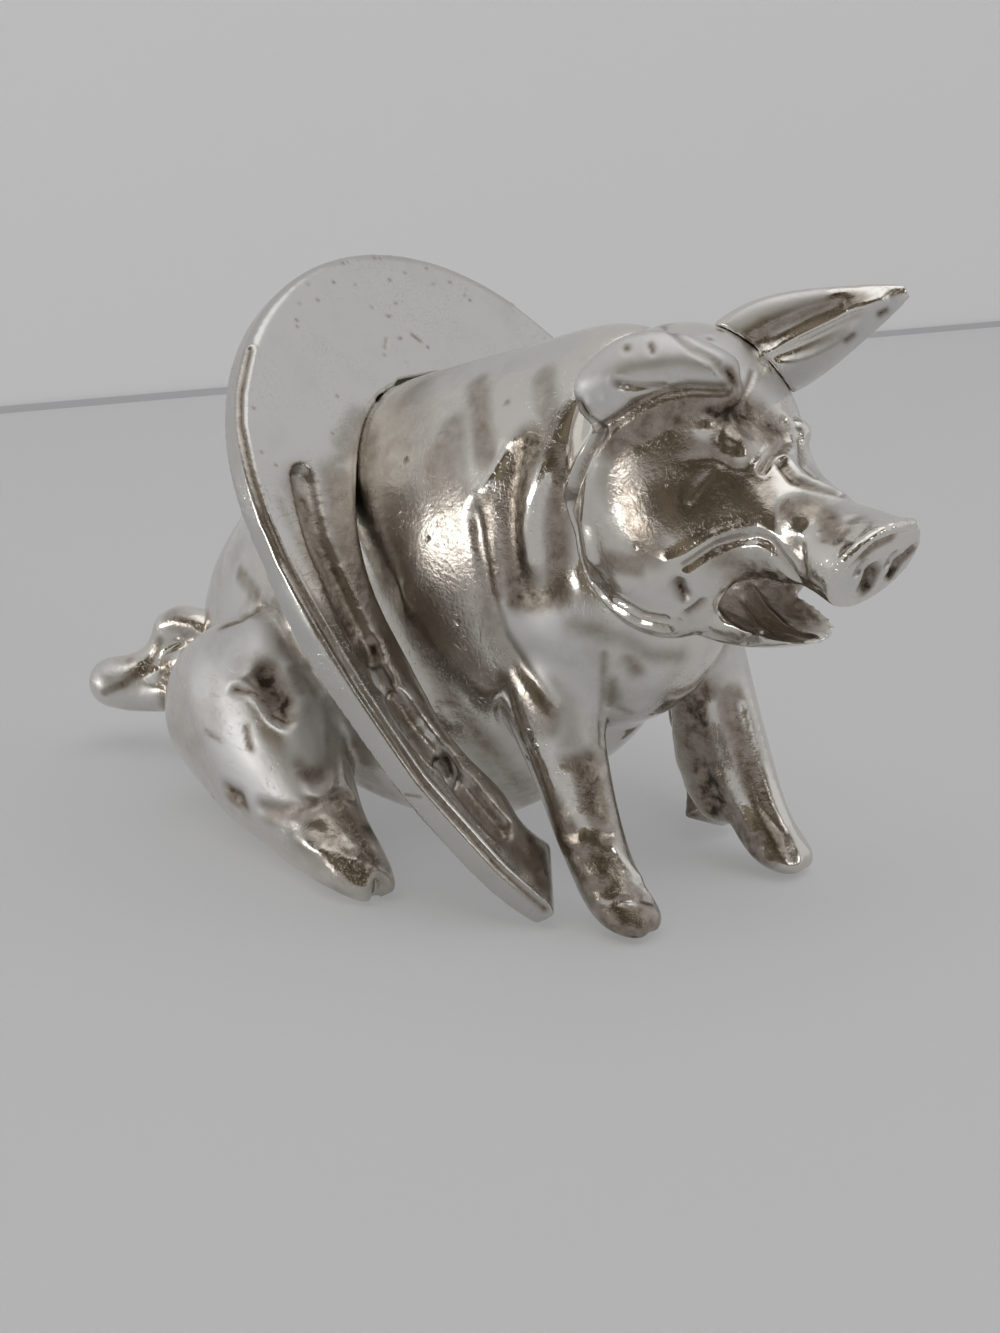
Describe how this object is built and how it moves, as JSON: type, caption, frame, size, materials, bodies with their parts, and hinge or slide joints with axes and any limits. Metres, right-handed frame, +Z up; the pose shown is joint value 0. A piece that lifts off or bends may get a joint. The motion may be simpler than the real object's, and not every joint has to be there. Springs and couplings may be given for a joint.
{
  "type": "pig figurine",
  "caption": "Small cast silver pig that sits on its haunches inside a large horseshoe, with an open mouth, pricked ears and a curled tail.",
  "frame": {"origin": "on the ground, under the middle of the whole figure's bounding box", "axes": "+X the way the pig faces, +Y to its left, +Z up"},
  "size_m": [0.0562, 0.0305, 0.033],
  "materials": {
    "shoe_silver": "worn polish, dark in the fullers",
    "body_silver": "mirror polish with warm tarnish in the folds",
    "leg_silver": "rough cast, partly polished",
    "tail_silver": "polished wire with tarnish"
  },
  "bodies": {
    "root": {"horseshoe": "shoe_silver", "torso": "body_silver", "head": "body_silver", "lower_jaw": "body_silver", "right_ear": "body_silver", "left_ear": "body_silver", "right_foreleg": "leg_silver", "left_foreleg": "leg_silver", "right_hind_leg": "leg_silver", "left_hind_leg": "leg_silver", "tail": "tail_silver"}
  },
  "joints": []
}
